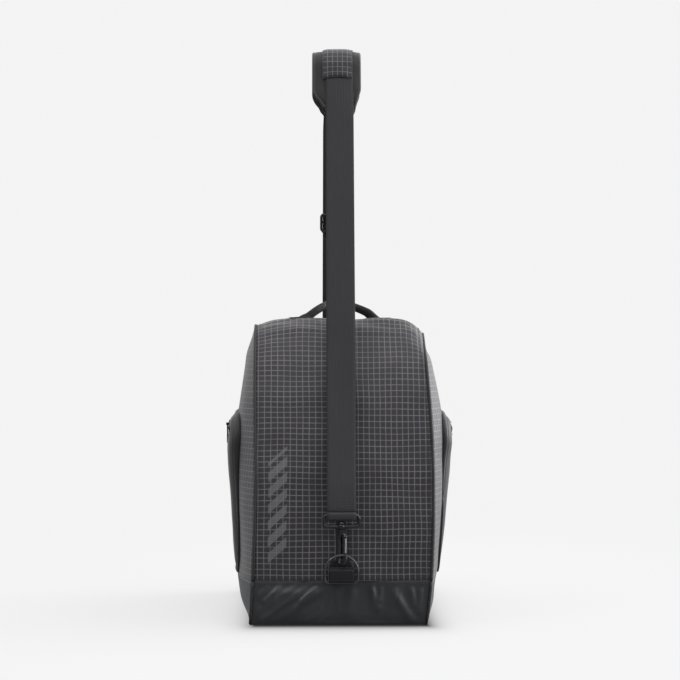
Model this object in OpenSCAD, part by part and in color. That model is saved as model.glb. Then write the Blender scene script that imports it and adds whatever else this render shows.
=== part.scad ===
// Soft bag for a pair of ski boots, with a clip-on shoulder strap held upright.
// Origin: centre of the base on the floor. +Z up, ends face -Y and +Y, sides face -X and +X.

/* [Cloth] */
// Thickness of the sewn cloth walls
shell = 3; // [2:0.5:4]
// Radius of the piping cord
cord_r = 2.4; // [1.5:0.1:3]

/* [Zips] */
// Half width of the main zip, tape and chain
zip_half = 6; // [5:0.5:9]
// Half of the gap between the two main chains
zip_gap = 0.4; // [0.3:0.1:0.6]
// How far the main chains stand out of the cloth
zip_proud = 0.8; // [0.4:0.1:0.8]
// How far each main slider runs from the middle
slider_travel = 75; // [40:5:90]

/* [Strap] */
// Width of the webbing
web_w = 38; // [36:1:40]
// Thickness of the webbing
web_t = 1.8; // [1.4:0.1:2.2]
// Lean of each strap leg from vertical, degrees
strap_lean = 16.9; // [16.5:0.1:17.3]
// Radius of the strap where it turns over at the top
strap_top_r = 33; // [30:1:36]
// Width of the shoulder pad
pad_w = 66; // [60:1:72]

/* [Metal] */
// Distance of the hooks and D-rings from the middle of the bag
hook_y = 212; // [212:1:214]
// Turn of the hooks out of the plane of the D-rings, degrees
hook_turn = 52; // [46:1:80]
// Wire radius of the D-rings
ring_wire = 1.8; // [1.5:0.1:1.9]
// Radius of the D-rings at the wire's centre
ring_r = 20.5; // [20:0.5:22]

/* [Handles] */
// Radius of the rolled handle webbing
handle_r = 4.5; // [4:0.5:5]
// Height of the handles' hinge line
handle_base = 407; // [407:1:410]

/* [Hidden] */

// Outlines of the bag: height, then distance from the middle.
end_outline = [[0, 197], [12, 200], [58, 200], [100, 199], [150, 193.5], [200, 185], [250, 171],
    [300, 154], [340, 135], [365, 119], [378, 109], [390, 97], [397, 87], [400, 76]];
seam_outline = [[0, 113], [58, 114.5], [130, 117], [200, 118], [300, 115], [400, 113]];
side_outline = [[0, 122], [12, 132], [20, 136], [58, 142], [150, 146], [230, 146], [275, 142],
    [302, 137], [330, 132], [358, 127], [386, 120], [400, 116]];
pocket_outline = [[62, 145], [68, 145.5], [150, 150.5], [230, 155.5], [261, 153.1], [272, 150.5]];

tub_z = 58;
top_z = 400;
seam_gap = 0.3;
clear = 0.4;
tub_rows = [0, 12, 30, tub_z];
half_rows = [tub_z + seam_gap, 80, 100, 125, 150, 175, 200, 225, 250, 275, 300, 320, 340, 353,
    365, 378, 390, 397, top_z];
top_steps = [-50, -25, 0, 25, 50];
across = [for (i = [-6:6]) i / 6];

function end_y(z) = lookup(z, end_outline);
function seam_x(z) = lookup(z, seam_outline);
function side_x(z, y) = let (edge = seam_x(z) + shell, t = y / end_y(z))
    edge + max(0, lookup(z, side_outline) - edge) * (1 - pow(abs(t), 3));
function flat(list) = [for (row = list) for (p = row) p];
function reversed(list) = [for (i = [len(list) - 1:-1:0]) list[i]];
function unit2(v) = v / norm(v);

// Unit normal of a flat path at point i, on the left of its direction.
function path_normal(path, i) = let (a = path[max(0, i - 1)], b = path[min(len(path) - 1, i + 1)],
    d = unit2(b - a)) [-d[1], d[0]];
function path_offset(path, d) = [for (i = [0:len(path) - 1]) path[i] + d * path_normal(path, i)];

// The way over the bag from front bottom to rear bottom, as [y, z] points.
over_rows = [for (z = half_rows) [-end_y(z), z]];
over_path = concat(over_rows, [for (y = top_steps) [y, top_z]],
    reversed([for (p = over_rows) [-p[0], p[1]]]));
tub_front = [for (z = tub_rows) [-end_y(z), z]];

// Closed skin between two grids of points with the same rows and columns.
module skin(outer, inner) {
    rows = len(outer);
    cols = len(outer[0]);
    total = rows * cols;
    function at(i, j) = i * cols + j;
    top = flat([for (i = [0:rows - 2]) [for (j = [0:cols - 2]) each
        [[at(i, j), at(i, j + 1), at(i + 1, j + 1)], [at(i, j), at(i + 1, j + 1), at(i + 1, j)]]]]);
    under = [for (f = top) [for (k = reversed(f)) k + total]];
    rim = concat([for (j = [0:cols - 1]) at(0, j)], [for (i = [1:rows - 1]) at(i, cols - 1)],
        [for (j = [cols - 2:-1:0]) at(rows - 1, j)], [for (i = [rows - 2:-1:1]) at(i, 0)]);
    sides = flat([for (k = [0:len(rim) - 1]) let (a = rim[k], b = rim[(k + 1) % len(rim)])
        [[a, a + total, b + total], [a, b + total, b]]]);
    polyhedron(concat(flat(outer), flat(inner)), concat(top, under, sides));
}

// Tube with 8 sides along points in space.
module tube(points, radius) {
    sides = 8;
    last = len(points) - 1;
    rings = [for (i = [0:last]) let (d = points[min(last, i + 1)] - points[max(0, i - 1)],
        t = d / norm(d), u = cross(t, [0.31, 0.17, 0.93]), v = u / norm(u), w = cross(t, v))
        [for (k = [0:sides - 1]) points[i] + radius * (cos(k * 45) * v + sin(k * 45) * w)]];
    walls = flat([for (i = [0:last - 1]) [for (k = [0:sides - 1]) each
        let (a = i * sides + k, b = i * sides + (k + 1) % sides)
        [[a, b, b + sides], [a, b + sides, a + sides]]]]);
    polyhedron(flat(rings), concat(walls, [[for (k = [sides - 1:-1:0]) k],
        [for (k = [0:sides - 1]) last * sides + k]]));
}

// Strip of cloth that follows a [y, z] path from x0 to x1 of the half width at each height.
module strip(path, x0, x1, out, into) {
    outer_path = path_offset(path, out);
    inner_path = path_offset(path, -into);
    function row(p, z, side) = [for (f = [0, 0.5, 1]) [side == 0 ? 0 : x0(z) + (x1(z) - x0(z)) * f,
        p[0], p[1]]];
    skin([for (i = [0:len(path) - 1]) row(outer_path[i], path[i][1], 1)],
        [for (i = [0:len(path) - 1]) row(inner_path[i], path[i][1], 1)]);
}

module left_and(right) {
    if (right) mirror([1, 0, 0]) children();
    else children();
}

module front_and(rear) {
    if (rear) mirror([0, 1, 0]) children();
    else children();
}

// Rectangle with round corners, centred.
module rounded_rect(w, d, r) {
    square([w - 2 * r, d], center = true);
    square([w, d - 2 * r], center = true);
    for (x = [-1, 1], y = [-1, 1]) translate([x * (w / 2 - r), y * (d / 2 - r)]) circle(r, $fn = 32);
}

// Flat [x, z] outline drawn out along Y, centred on y = 0.
module along_y(points, length) {
    translate([0, length / 2, 0]) rotate([90, 0, 0]) linear_extrude(length) polygon(points);
}

// Flat [y, z] outline drawn out along X, centred on x = 0.
module along_x(points, width) {
    translate([-width / 2, 0, 0]) rotate([90, 0, 90]) linear_extrude(width) polygon(points);
}

// ---- Tub ----

module base_panel() {
    inset = 3.4;
    side = [for (t = across) [side_x(0, t * end_y(0)) - inset, t * (end_y(0) - inset)]];
    color("#26282b") linear_extrude(3)
        polygon(concat(side, [for (p = side) -1 * p]));
}

module base_board() {
    color("#3a3a3c") translate([0, 0, 3.2]) linear_extrude(3) rounded_rect(216, 368, 24);
}

module end_band() {
    x0 = function(z) -seam_x(z);
    x1 = function(z) seam_x(z);
    color("#333539") strip(tub_front, x0, x1, 0, shell);
}

// Side wall, left side, over the given rows.
module side_wall(rows, hue) {
    outer = [for (z = rows) [for (t = across) [-side_x(z, t * end_y(z)), t * end_y(z), z]]];
    inner = [for (r = outer) [for (p = r) p + [shell, 0, 0]]];
    color(hue) skin(outer, inner);
}

module base_piping() {
    x = -seam_x(30) - shell / 2;
    for (y = [-1, 1]) color("#17181a") translate([x, y * (end_y(30) + cord_r), 6])
        cylinder(h = tub_z - 6 - seam_gap, r1 = 1.4, r2 = cord_r, $fn = 24);
}

tab_w = 33;
ring_bar_z = 57.5;
tab_back = end_y(tub_z) + zip_proud + seam_gap;
module dring_tab() {
    color("#1b1c1f") {
        translate([-web_w / 2, -tab_back - 1, 60]) cube([web_w, 1, 30]);
        difference() {
            translate([-tab_w / 2, -hook_y - 3.4, 51]) cube([tab_w, hook_y + 3.4 - tab_back, 24]);
            translate([-tab_w, -hook_y, ring_bar_z]) rotate([0, 90, 0])
                cylinder(h = 2 * tab_w, r = ring_wire + clear, $fn = 32);
        }
    }
}

// ---- Halves ----

module gusset() {
    x0 = function(z) -seam_x(z);
    x1 = function(z) -zip_half;
    color("#4a484d") strip(over_path, x0, x1, 0, shell);
}

module main_zip() {
    x0 = function(z) -zip_half;
    x1 = function(z) -zip_gap;
    color("#151517") strip(over_path, x0, x1, zip_proud, shell - 1);
}

module piping() {
    middle = path_offset(over_path, cord_r);
    points = [for (i = [0:len(middle) - 1])
        [-seam_x(over_path[i][1]) - shell / 2, middle[i][0], middle[i][1]]];
    color("#17181a") tube(points, cord_r);
}

pocket_rows = [62, 66, 71, 80, 110, 150, 200, 234, 250, 261, 268, 272];
pocket_mid = 167;
pocket_skin = 2;
pocket_len = 126;
pocket_top_r = 38;
pocket_foot_r = 18;
pocket_curve = 1600;
function pocket_x(z, y = 0) = lookup(z, pocket_outline) - y * y / (2 * pocket_curve);
function pocket_y(z) = let (up = max(0, z - pocket_rows[11] + pocket_top_r),
    down = max(0, pocket_rows[0] + pocket_foot_r - z), r = up > 0 ? pocket_top_r : pocket_foot_r)
    pocket_len - r + sqrt(r * r - up * up - down * down);

module pocket_face() {
    outer = [for (z = pocket_rows) [for (t = across) [-pocket_x(z, t * pocket_y(z)), t * pocket_y(z), z]]];
    inner = [for (r = outer) [for (p = r) p + [pocket_skin, 0, 0]]];
    color("#2c2c30") skin(outer, inner);
}

module pocket_gusset() {
    z0 = pocket_rows[0];
    z1 = pocket_rows[11];
    loop = concat([for (t = across) [t * pocket_y(z0), z0]],
        [for (i = [1:10]) [pocket_y(pocket_rows[i]), pocket_rows[i]]],
        [for (t = across) [-t * pocket_y(z1), z1]],
        [for (i = [10:-1:1]) [-pocket_y(pocket_rows[i]), pocket_rows[i]]]);
    inset = [for (p = loop) [p[0] * 0.96, pocket_mid + (p[1] - pocket_mid) * 0.94]];
    n = len(loop);
    points = concat(
        [for (p = loop) [-side_x(p[1], p[0]) - 2 * seam_gap, p[0], p[1]]],
        [for (p = loop) [-pocket_x(p[1], p[0]) + pocket_skin + 2 * seam_gap, p[0], p[1]]],
        [for (p = inset) [-pocket_x(p[1], p[0]) + pocket_skin + 2 * seam_gap, p[0], p[1]]],
        [for (p = inset) [-side_x(p[1], p[0]) - 2 * seam_gap, p[0], p[1]]]);
    walls = [for (k = [0:3]) for (i = [0:n - 1]) each let (j = (i + 1) % n, a = k * n, b = (k + 1) % 4 * n)
        [[a + i, a + j, b + j], [a + i, b + j, b + i]]];
    color("#141416") polyhedron(points, walls);
}

pocket_zip_t = 1.2;
pocket_zip_len = 208;
module pocket_zip() {
    rows = [248, 257];
    inner = [for (z = rows) [for (t = across) let (y = t * pocket_zip_len / 2)
        [-pocket_x(z, y) - 0.2, y, z]]];
    color("#101012") skin([for (r = inner) [for (p = r) p - [pocket_zip_t, 0, 0]]], inner);
}

handle_foot = [55, 75];
module handle_anchors() {
    for (y = [-1, 1]) color("#18191b") translate([-handle_foot[0], y * (handle_foot[1] - 9), top_z])
        translate([-16, -9, 0]) cube([32, 18, 2]);
}

module handle() {
    x = handle_foot[0];
    side = [[-x, -75, handle_base], [-x + 6, -73, handle_base + 4], [-x + 15, -68, handle_base + 8],
        [-x + 26, -59, handle_base + 12], [-x + 36, -47, handle_base + 15],
        [-x + 43, -33, handle_base + 16.5], [-x + 45, -15, handle_base + 17]];
    points = concat(side, reversed([for (p = side) [p[0], -p[1], p[2]]]));
    color("#1a1b1d") tube([for (p = points) p - [0, sign(p[1]) * 9, 0]], handle_r);
}

// ---- Sliders and pulls ----

chain_top = top_z + zip_proud;
slider_len = 14;
slider_y = 9;
lug_z = chain_top + 6;
lug_hole = 0.8;
pull_pin = 0.75;

// Pull hanging along -Z from a pin along X through the origin.
module pull() {
    for (x = [-1, 1]) translate([x * 2.2 - 0.7, -0.75, -7]) cube([1.4, 1.5, 8]);
    translate([-2.9, -0.75, -27]) cube([5.8, 1.5, 21]);
    translate([-2.2, 0, 0]) rotate([0, 90, 0]) cylinder(h = 4.4, r = pull_pin, $fn = 24);
}

// Lug with a hole along X at the origin, standing down to z = -depth.
module lug(depth) {
    difference() {
        translate([-1.2, -1.9, -depth]) cube([2.4, 3.8, depth + 1.9]);
        translate([-2, 0, 0]) rotate([0, 90, 0]) cylinder(h = 4, r = lug_hole, $fn = 24);
    }
}

module main_slider() {
    low = chain_top + clear;
    color("#2a2b2e") translate([0, -slider_y, 0]) {
        along_y([[-5, low], [0.4, low], [5, low + 2.2], [5, low + 4], [-5, low + 4]], slider_len);
        translate([0, 0, lug_z]) lug(lug_z - low - 3.8);
    }
}

module main_pull() {
    color("#111113") translate([0, -slider_y, lug_z]) rotate([-90, 0, 0]) pull();
}

pocket_lug_z = 252;
pocket_lug_x = pocket_x(pocket_lug_z) + pocket_zip_t + clear + 5.2;
pocket_close_y = 90;
// The pocket sliders run on a shallow arc, and rest at its rear end.
module at_pocket_close() {
    middle = pocket_curve - pocket_x(pocket_lug_z);
    translate([middle, 0, 0]) rotate([0, 0, -asin(pocket_close_y / pocket_curve)])
        translate([-middle, 0, 0]) children();
}

module pocket_slider() {
    low = 247.5;
    high = 257.5;
    out = pocket_zip_t + clear;
    color("#2a2b2e") at_pocket_close() {
        along_y([[-pocket_x(low) - out, low], [-pocket_x(low) - out - 3, low],
            [-pocket_x(high) - out - 3, high], [-pocket_x(high) - out, high]], slider_len);
        translate([-pocket_lug_x, 0, pocket_lug_z]) rotate([0, -90, 0]) rotate([0, 0, 90]) lug(2.6);
    }
}

module pocket_pull() {
    color("#111113") at_pocket_close() translate([-pocket_lug_x, 0, pocket_lug_z])
        rotate([0, 0, 90]) pull();
}

// ---- Strap ----

knee = [199, 200];
strap_low = [[hook_y, 148], [208.2, 166], [204.2, 183]];
arc_z = knee[1] + (knee[0] - strap_top_r * cos(strap_lean)) / tan(strap_lean)
    - strap_top_r * sin(strap_lean);
strap_top = arc_z + strap_top_r;
arc_steps = 14;
function leg_y(z) = knee[0] - (z - knee[1]) * tan(strap_lean);
arc_points = [for (i = [0:arc_steps]) let (a = 180 - strap_lean - i * (180 - 2 * strap_lean) / arc_steps)
    [strap_top_r * cos(a), arc_z + strap_top_r * sin(a)]];
front_leg = concat([for (p = strap_low) [-p[0], p[1]]], [[-knee[0], knee[1]]]);
strap_path = concat(front_leg, arc_points, reversed([for (p = front_leg) [-p[0], p[1]]]));

// Layer of webbing or padding along a path, between two distances from its middle line.
module layer(path, near, far, width) {
    along_x(concat(path_offset(path, far), reversed(path_offset(path, near))), width);
}

loop_bar_z = [140, 146.8];
loop_bar_t = 4;
// Fold of webbing round the upper bar of a hook loop.
module loop_fold() {
    h = loop_bar_z[1] - loop_bar_z[0] + 0.8;
    t = loop_bar_t + 0.8;
    z = (loop_bar_z[0] + loop_bar_z[1]) / 2;
    translate([-web_w / 2, -hook_y, z]) rotate([90, 0, 90]) linear_extrude(web_w) difference() {
        rounded_rect(t + 2 * web_t, h + 2 * web_t, 3);
        rounded_rect(t, h, 1);
    }
}

module strap_webbing() {
    color("#3a393e") {
        layer(strap_path, -web_t / 2, web_t / 2, web_w);
        for (rear = [false, true]) front_and(rear) loop_fold();
    }
}

return_top = 524;
module strap_return() {
    up = [strap_low[1], strap_low[2], knee, [leg_y(return_top), return_top]];
    color("#323136") layer(reversed(up), -web_t * 1.5 - 0.2, -web_t / 2 - 0.2, web_w - 1);
}

pad_foot_z = 690;
pad_path = concat([[-leg_y(pad_foot_z), pad_foot_z]], arc_points, [[leg_y(pad_foot_z), pad_foot_z]]);
module pad_sleeve() {
    color("#4a484d") layer(pad_path, web_t / 2 + 0.2, web_t / 2 + 2.6, 46);
}

module pad_foam() {
    color("#1e1f22") layer(pad_path, -7.4, -web_t / 2 - 0.2, pad_w);
}

module pad_backing() {
    color("#141517") layer(pad_path, -8.9, -7.6, pad_w - 2);
}

adjuster_z = 541;
adjuster_len = 28.5;
module strap_adjuster() {
    color("#151618") translate([0, leg_y(adjuster_z), adjuster_z]) rotate([strap_lean, 0, 0])
        difference() {
            translate([-23.5, -5.4, -adjuster_len / 2]) cube([47, 8.8, adjuster_len]);
            translate([-web_w / 2 - 0.7, -3.6, -adjuster_len]) cube([web_w + 1.4, 5.2, 2 * adjuster_len]);
            for (z = [-1, 1]) translate([-web_w / 2, 0, z * 6.6 - 3.4]) cube([web_w, 10, 6.8]);
        }
}

// ---- Metal ----

loop_low = 128;
loop_high = 147;
swivel_bar = 4.6;
stem_r = 2.2;
module hook_loop() {
    z = (loop_low + loop_high) / 2;
    color("#1c1d20") difference() {
        translate([0, -hook_y + loop_bar_t / 2, z]) rotate([90, 0, 0]) linear_extrude(loop_bar_t)
            rounded_rect(50, loop_high - loop_low, 4);
        translate([-20.5, -hook_y - 5, loop_low + swivel_bar])
            cube([41, 10, loop_bar_z[0] - loop_low - swivel_bar]);
        for (x = [-1, 1]) translate([x * 20.5 - (x < 0 ? 0 : 0.7), -hook_y - 5, loop_bar_z[0] - 1])
            cube([0.7, 10, 1]);
        translate([0, -hook_y, loop_low - 1]) cylinder(h = swivel_bar + 2, r = stem_r - 0.8, $fn = 24);
    }
}

hook_low = 79;
hook_t = 4.5;
bow_r = 4.9;
bow_x = 0.9;
bow_z = hook_low + hook_t + bow_r;
gate_pin_at = [8.2, 118];
gate_pin_r = 1.1;
module at_hook() {
    translate([0, -hook_y, 0]) rotate([0, 0, -hook_turn]) children();
}

module hook_outline() {
    r = bow_r + hook_t;
    // Spine, then shoulder, then bow with its nose.
    translate([bow_x - r, bow_z]) square([hook_t, 119 - bow_z]);
    translate([bow_x - r, 114]) square([hook_t + 2.6, 10]);
    difference() {
        translate([bow_x, bow_z]) circle(r, $fn = 48);
        translate([bow_x, bow_z]) circle(bow_r, $fn = 48);
        translate([bow_x - 20, bow_z]) square([40, 20]);
    }
    translate([bow_x + bow_r, bow_z]) square([hook_t - 0.6, 7]);
}

module hook() {
    color("#202124") at_hook() {
        rotate([90, 0, 0]) translate([0, 0, -hook_t / 2]) linear_extrude(hook_t) hook_outline();
        difference() {
            translate([-5, -hook_t / 2 - 1, 113]) cube([17, hook_t + 2, 11]);
            translate([3.6, -1.9, 105]) cube([10, 3.8, 17.4]);
            translate([gate_pin_at[0], 10, gate_pin_at[1]]) rotate([90, 0, 0])
                cylinder(h = 20, r = gate_pin_r, $fn = 24);
        }
        translate([0, 0, 123]) cylinder(h = loop_low - 0.4 - 123, r = 4.2, $fn = 32);
        translate([0, 0, 127]) cylinder(h = loop_low + swivel_bar + 0.6 - 127, r = stem_r - 0.85, $fn = 24);
        translate([0, 0, loop_low + swivel_bar + 0.3]) cylinder(h = 3.2, r = 3.8, $fn = 32);
    }
}

module gate() {
    color("#8e9094") at_hook() difference() {
        union() {
            translate([gate_pin_at[0], 1.5, gate_pin_at[1]]) rotate([90, 0, 0])
                cylinder(h = 3, r = 2.8, $fn = 32);
            translate([6.4, -1.5, bow_z + 7.4]) cube([3.6, 3, gate_pin_at[1] - bow_z - 7.4]);
        }
        translate([gate_pin_at[0], 5, gate_pin_at[1]]) rotate([90, 0, 0])
            cylinder(h = 10, r = gate_pin_r + 0.05, $fn = 24);
    }
}

module gate_pin() {
    color("#6a6c70") at_hook() translate([gate_pin_at[0], hook_t / 2 + 1.2, gate_pin_at[1]])
        rotate([90, 0, 0]) cylinder(h = hook_t + 2.4, r = gate_pin_r, $fn = 24);
}

ring_z = 68;
module dring() {
    color("#222326") translate([0, -hook_y, 0]) {
        translate([0, 0, ring_z]) rotate([90, 0, 0]) rotate_extrude(angle = 180, $fn = 48)
            translate([ring_r, 0]) circle(ring_wire, $fn = 24);
        for (x = [-1, 1]) translate([x * ring_r, 0, ring_bar_z])
            cylinder(h = ring_z - ring_bar_z, r = ring_wire, $fn = 24);
        for (x = [-1, 1]) translate([x * ring_r, 0, ring_bar_z]) sphere(ring_wire, $fn = 24);
        translate([-ring_r, 0, ring_bar_z]) rotate([0, 90, 0])
            cylinder(h = 2 * ring_r, r = ring_wire, $fn = 24);
    }
}

base_panel();
base_board();
end_band();  // front_tarp_band
front_and(true) end_band();  // rear_tarp_band
side_wall(tub_rows, "#3a3c40");  // left_tarp_band
left_and(true) side_wall(tub_rows, "#3a3c40");  // right_tarp_band
base_piping();  // left_base_piping
left_and(true) base_piping();  // right_base_piping
dring_tab();  // front_dring_tab
front_and(true) dring_tab();  // rear_dring_tab
side_wall(half_rows, "#6e6c73");  // left_side_panel
left_and(true) side_wall(half_rows, "#6e6c73");  // right_side_panel
gusset();  // left_gusset
left_and(true) gusset();  // right_gusset
piping();  // left_piping
left_and(true) piping();  // right_piping
main_zip();  // left_main_zip
left_and(true) main_zip();  // right_main_zip
pocket_gusset();  // left_pocket_gusset
left_and(true) pocket_gusset();  // right_pocket_gusset
pocket_face();  // left_pocket_face
left_and(true) pocket_face();  // right_pocket_face
pocket_zip();  // left_pocket_zip
left_and(true) pocket_zip();  // right_pocket_zip
handle_anchors();  // left_handle_anchors
left_and(true) handle_anchors();  // right_handle_anchors
handle();  // left_handle
left_and(true) handle();  // right_handle
main_slider();  // front_main_slider
front_and(true) main_slider();  // rear_main_slider
main_pull();  // front_main_pull
front_and(true) main_pull();  // rear_main_pull
pocket_slider();  // left_pocket_slider
left_and(true) pocket_slider();  // right_pocket_slider
pocket_pull();  // left_pocket_pull
left_and(true) pocket_pull();  // right_pocket_pull
strap_webbing();
strap_return();
pad_sleeve();
pad_foam();
pad_backing();
strap_adjuster();
hook_loop();  // front_hook_loop
front_and(true) hook_loop();  // rear_hook_loop
hook();  // front_hook
front_and(true) hook();  // rear_hook
gate();  // front_gate
front_and(true) gate();  // rear_gate
gate_pin();  // front_gate_pin
front_and(true) gate_pin();  // rear_gate_pin
dring();  // front_dring
front_and(true) dring();  // rear_dring
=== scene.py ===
import math

import bmesh
import bpy
import numpy as np
from mathutils import Matrix, Vector, noise


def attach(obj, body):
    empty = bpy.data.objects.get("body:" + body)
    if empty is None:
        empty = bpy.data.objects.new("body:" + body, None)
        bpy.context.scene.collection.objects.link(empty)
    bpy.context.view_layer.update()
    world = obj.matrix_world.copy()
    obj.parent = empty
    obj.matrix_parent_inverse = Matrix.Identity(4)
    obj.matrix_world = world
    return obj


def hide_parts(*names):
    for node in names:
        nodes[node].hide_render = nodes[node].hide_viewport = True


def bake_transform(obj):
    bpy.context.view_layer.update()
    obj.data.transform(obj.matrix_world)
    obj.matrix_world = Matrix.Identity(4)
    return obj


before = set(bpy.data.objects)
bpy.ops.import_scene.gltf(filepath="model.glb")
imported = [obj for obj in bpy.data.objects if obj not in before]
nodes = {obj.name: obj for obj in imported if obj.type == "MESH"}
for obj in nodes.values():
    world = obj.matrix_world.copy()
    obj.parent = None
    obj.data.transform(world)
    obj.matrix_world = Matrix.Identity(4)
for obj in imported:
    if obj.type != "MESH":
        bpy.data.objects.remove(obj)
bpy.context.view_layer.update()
mm = 0.001


def point(x, y, z):
    # a place given in millimetres
    return Vector((x, y, z)) * mm


# camera and stage first

shot = {"azimuth": -1.0, "distance": 3.0, "height": 0.372, "lens": 114, "aside": 0.0016}
turn = math.radians(shot["azimuth"])
bpy.ops.object.camera_add(
    location=(math.sin(turn) * shot["distance"] + shot["aside"], -math.cos(turn) * shot["distance"], shot["height"]),
    rotation=(math.pi / 2, 0, turn))
camera = bpy.context.object
camera.data.lens = shot["lens"]
camera.data.clip_end = 200
bpy.context.scene.camera = camera
bpy.context.scene.view_settings.view_transform = "Standard"

# the last four entries paint a shadow onto the floor around the bag's footprint
studio = {"backdrop": 0.9, "frontFill": 0.15, "sideFill": 0.8, "rightFill": 2.2, "topFill": 0.52,
          "floorDiffuse": 0.15, "floorGlow": 0.68, "floorBounce": 0.18, "paintedShadow": 0.92,
          "paintedShadowTone": (0.02, 0.02, 0.02), "footprint": (("X", 0.112, 2.0), ("Y", 0.2, 1.0)),
          "paintedShadowReach": 0.026}


def newMaterial(name):
    material = bpy.data.materials.new(name)
    material.use_nodes = True
    tree = material.node_tree
    return material, tree, tree.nodes["Principled BSDF"]


def feed(tree, socket, value):
    # a node's output is linked, a constant is set on the socket
    if isinstance(value, bpy.types.NodeSocket):
        tree.links.new(value, socket)
    else:
        socket.default_value = value


def calc(tree, operation, a, b=0.0, c=0.0):
    node = tree.nodes.new("ShaderNodeMath")
    node.operation = operation
    for socket, value in zip(node.inputs, (a, b, c)):
        feed(tree, socket, value)
    return node.outputs[0]


def mathNode(operation):
    return lambda tree, *values: calc(tree, operation, *values)


times, plus, minus, over = (mathNode(kind) for kind in ("MULTIPLY", "ADD", "SUBTRACT", "DIVIDE"))
timesPlus, fraction, magnitude = (mathNode(kind) for kind in ("MULTIPLY_ADD", "FRACT", "ABSOLUTE"))


def smoothStep(tree, value, low, high):
    node = tree.nodes.new("ShaderNodeMapRange")
    node.interpolation_type = "SMOOTHSTEP"
    tree.links.new(value, node.inputs["Value"])
    node.inputs["From Min"].default_value = low
    node.inputs["From Max"].default_value = high
    return node.outputs["Result"]


def mixColour(tree, factor, first, second):
    node = tree.nodes.new("ShaderNodeMix")
    node.data_type = "RGBA"
    tree.links.new(factor, node.inputs["Factor"])
    for socket, value in zip(node.inputs[6:8], (first, second)):
        feed(tree, socket, (*value, 1) if isinstance(value, tuple) else value)
    return node.outputs[2]


def splitVector(tree, source):
    node = tree.nodes.new("ShaderNodeSeparateXYZ")
    tree.links.new(source, node.inputs[0])
    return node.outputs


def setShader(tree, shader, **values):
    for label, value in values.items():
        feed(tree, shader.inputs[label.replace("_", " ")], value)


def makeWorld():
    world = bpy.data.worlds.new("studioWorld")
    world.use_nodes = True
    bpy.context.scene.world = world
    tree = world.node_tree
    tree.nodes.clear()
    split = splitVector(tree, tree.nodes.new("ShaderNodeTexCoord").outputs["Generated"])
    back = smoothStep(tree, split["Y"], -0.5, 0.45)
    up = smoothStep(tree, split["Z"], 0.1, 0.9)
    right = smoothStep(tree, split["X"], 0.2, 0.95)
    level = timesPlus(tree, back, studio["sideFill"] - studio["frontFill"], studio["frontFill"])
    level = timesPlus(tree, up, studio["topFill"], level)
    level = timesPlus(tree, right, studio["rightFill"], level)
    path = tree.nodes.new("ShaderNodeLightPath")
    fill = tree.nodes.new("ShaderNodeBackground")
    tree.links.new(level, fill.inputs["Strength"])
    seen = tree.nodes.new("ShaderNodeBackground")
    seen.inputs["Strength"].default_value = studio["backdrop"]
    for node in (fill, seen):
        node.inputs["Color"].default_value = (1, 1, 1, 1)
    mix = tree.nodes.new("ShaderNodeMixShader")
    tree.links.new(path.outputs["Is Camera Ray"], mix.inputs[0])
    tree.links.new(fill.outputs[0], mix.inputs[1])
    tree.links.new(seen.outputs[0], mix.inputs[2])
    out = tree.nodes.new("ShaderNodeOutputWorld")
    tree.links.new(mix.outputs[0], out.inputs["Surface"])


def floorMaterial():
    # painted shadow of the bag close by, one even tone far away
    material, tree, shader = newMaterial("paleFloor")
    split = splitVector(tree, tree.nodes.new("ShaderNodeTexCoord").outputs["Object"])
    gaps = []
    for label, half, scale in studio["footprint"]:
        gap = calc(tree, "MAXIMUM", minus(tree, magnitude(tree, split[label]), half), 0)
        gap = times(tree, gap, scale)
        gaps.append(times(tree, gap, gap))
    gap = calc(tree, "SQRT", plus(tree, gaps[0], gaps[1]))
    # painted shadow: near the bag the floor's glow drops and its colour goes dark
    paintedShadow = calc(tree, "EXPONENT", over(tree, gap, -studio["paintedShadowReach"]))
    far = smoothStep(tree, gap, 0.15, 1.5)
    near = studio["floorDiffuse"]
    shade = mixColour(tree, far, (near, near, near), (0.0, 0.0, 0.0))
    glow = timesPlus(tree, far, studio["backdrop"] - studio["floorGlow"], studio["floorGlow"])
    glow = times(tree, glow, timesPlus(tree, paintedShadow, -studio["paintedShadow"], 1.0))
    seen = tree.nodes.new("ShaderNodeLightPath").outputs["Is Camera Ray"]
    glow = timesPlus(tree, seen, minus(tree, glow, studio["floorBounce"]), studio["floorBounce"])
    setShader(tree, shader, Base_Color=mixColour(tree, paintedShadow, shade, studio["paintedShadowTone"]), Roughness=1,
              Specular_IOR_Level=0, Emission_Strength=glow, Emission_Color=(1, 1, 1, 1))
    return material


def makeStage():
    makeWorld()
    bpy.ops.mesh.primitive_plane_add(size=120, location=(0, 0, 0))
    floor = bpy.context.object
    floor.name = "floor"
    floor.data.materials.append(floorMaterial())
    lights = {  # place, what it points at, size, power
        "topLight": ((0.15, -1.15, 2.7), (0.15, -0.1, 0.1), 1.5, 14),
        "leftLight": ((-1.7, -1.3, 2.0), (0, -0.2, 0.1), 0.9, 15),
        "rightLight": ((2.6, 0.9, 1.1), (0, 0.9, 0.85), 1.6, 55),
    }
    for name, (place, target, size, power) in lights.items():
        aim = (Vector(target) - Vector(place)).to_track_quat("-Z", "Y").to_euler()
        bpy.ops.object.light_add(type="AREA", location=place, rotation=aim)
        bpy.context.object.name = name
        bpy.context.object.data.size = size
        bpy.context.object.data.energy = power


makeStage()
print("stage ready")

# shared shader effects


def newGroup(name, inputs, outputs):
    group = bpy.data.node_groups.new(name, "ShaderNodeTree")
    for label, kind, value in inputs:
        socket = group.interface.new_socket(name=label, in_out="INPUT", socket_type=kind)
        if value is not None:
            socket.default_value = value
    for label in outputs:
        group.interface.new_socket(name=label, in_out="OUTPUT", socket_type="NodeSocketFloat")
    return group, group.nodes.new("NodeGroupInput").outputs, group.nodes.new("NodeGroupOutput").inputs


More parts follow.
